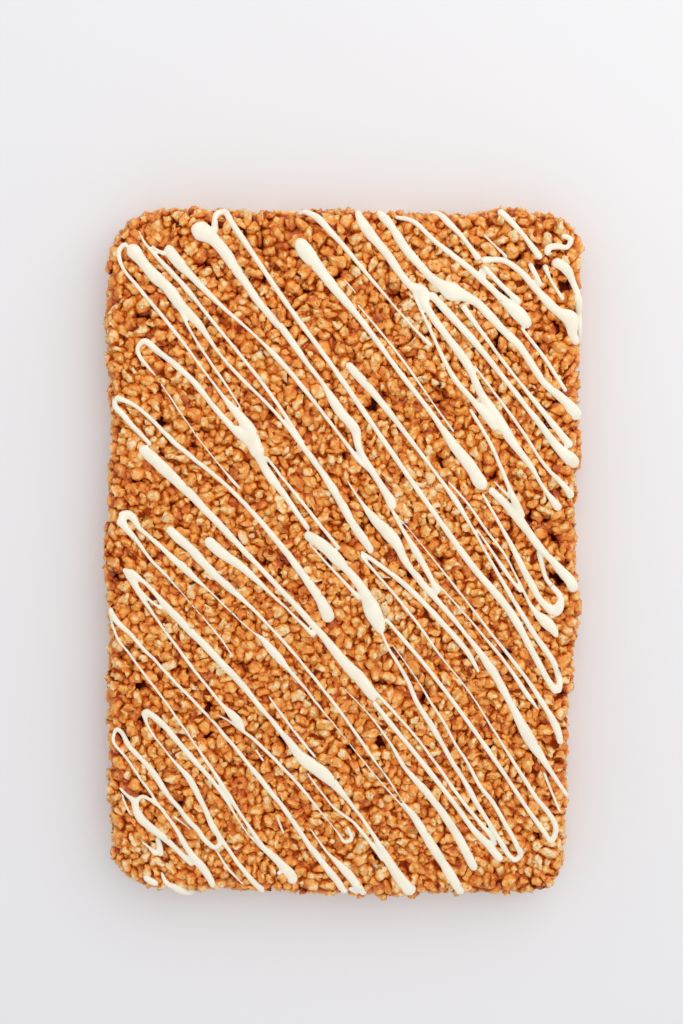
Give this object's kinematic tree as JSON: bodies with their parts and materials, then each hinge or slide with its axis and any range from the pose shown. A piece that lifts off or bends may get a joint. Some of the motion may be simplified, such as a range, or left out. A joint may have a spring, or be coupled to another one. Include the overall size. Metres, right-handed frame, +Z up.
{
  "type": "rice crispy treat",
  "caption": "Whole rectangular slab of caramel-coated puffed rice treat with rounded corners and a zigzag drizzle of white chocolate on top.",
  "frame": {"origin": "middle of the slab's flat underside, on the surface it lies on", "axes": "+X across the slab's width, +Y along its length towards the picture's top edge, +Z up through its thickness"},
  "size_m": [0.2308, 0.3352, 0.0287],
  "materials": {
    "glazed_rice": "puffed rice coated in caramel, semi-gloss",
    "white_drizzle": "set white chocolate, satin"
  },
  "bodies": {
    "root": {"treat_slab": "glazed_rice"}
  },
  "joints": []
}
